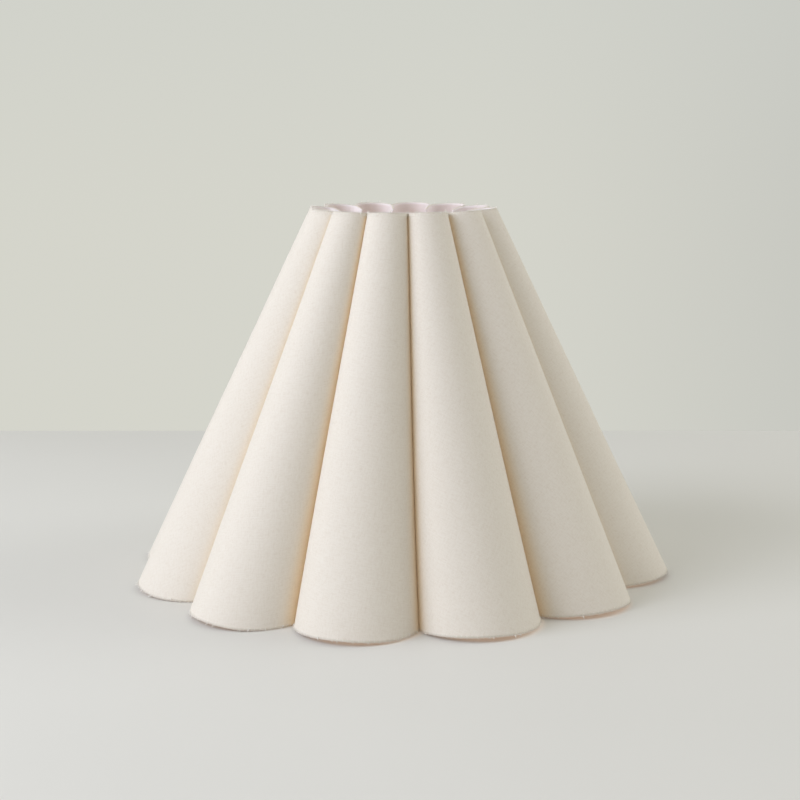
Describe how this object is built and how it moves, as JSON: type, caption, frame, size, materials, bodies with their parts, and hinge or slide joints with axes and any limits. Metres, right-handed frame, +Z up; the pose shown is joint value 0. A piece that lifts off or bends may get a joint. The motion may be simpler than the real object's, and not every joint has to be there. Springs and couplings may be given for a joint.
{
  "type": "lamp shade",
  "caption": "Cone-shaped lamp shade of lined fabric bent into rounded flutes, held by wire rings and a recessed spider with a washer for a lamp harp.",
  "frame": {"origin": "centre of the circle that the shade stands on, level with the lower ends of its folds", "axes": "+Z up along the shade's axis, +X and +Y each through the crest of a flute; spider_arm_1 points along +Y"},
  "size_m": [0.356, 0.356, 0.2422],
  "materials": {
    "fabric": "matt cream plain-weave cotton and linen cloth",
    "liner": "satin white stiffening sheet glued behind the cloth",
    "wire": "white enamelled steel wire",
    "washer": "plated pressed steel"
  },
  "bodies": {
    "root": {"fabric_flute_01": "fabric", "fabric_flute_02": "fabric", "fabric_flute_03": "fabric", "fabric_flute_04": "fabric", "fabric_flute_05": "fabric", "fabric_flute_06": "fabric", "fabric_flute_07": "fabric", "fabric_flute_08": "fabric", "fabric_flute_09": "fabric", "fabric_flute_10": "fabric", "fabric_flute_11": "fabric", "fabric_flute_12": "fabric", "liner_flute_01": "liner", "liner_flute_02": "liner", "liner_flute_03": "liner", "liner_flute_04": "liner", "liner_flute_05": "liner", "liner_flute_06": "liner", "liner_flute_07": "liner", "liner_flute_08": "liner", "liner_flute_09": "liner", "liner_flute_10": "liner", "liner_flute_11": "liner", "liner_flute_12": "liner", "bottom_ring": "wire", "top_ring": "wire", "spider_arm_1": "wire", "spider_arm_2": "wire", "spider_arm_3": "wire", "spider_washer": "washer"}
  },
  "joints": []
}
